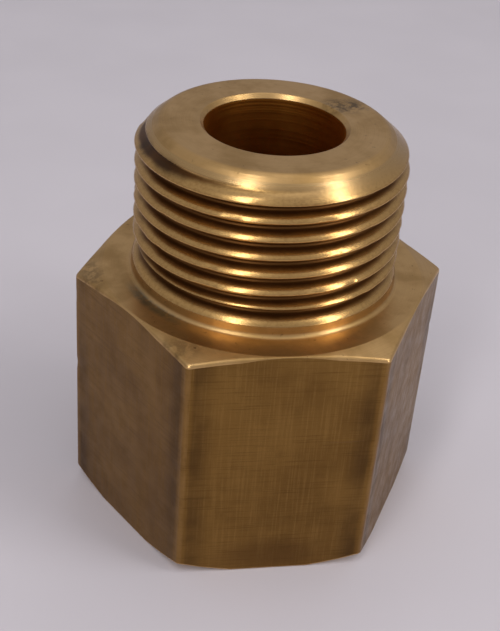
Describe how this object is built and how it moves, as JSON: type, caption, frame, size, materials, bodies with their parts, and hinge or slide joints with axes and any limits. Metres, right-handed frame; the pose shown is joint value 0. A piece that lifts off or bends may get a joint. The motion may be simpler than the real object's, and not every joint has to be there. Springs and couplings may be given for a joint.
{
  "type": "hexagon pipe adapter",
  "caption": "Hexagon brass adapter with a parallel male pipe thread above a female pipe thread, a through bore and a loose flat washer.",
  "frame": {"origin": "centre of the flat ring that the hexagon stands on, on the fitting's axis", "axes": "+Z along the axis, from the female end up to the male end; +Y and -Y are the normals of two opposite flats; +X passes through an upright edge of the hexagon"},
  "size_m": [0.0472, 0.041, 0.0526],
  "materials": {
    "brass": "satin machined brass, tarnished brown",
    "rubber": "matt black rubber"
  },
  "bodies": {
    "fitting": {"hex_body": "brass"},
    "washer": {"socket_washer": "rubber"}
  },
  "joints": [
    {"name": "washer_slide", "type": "slide", "parent": "fitting", "child": "washer", "axis": [0, 0, -1], "range_m": [0, 0.025]}
  ]
}
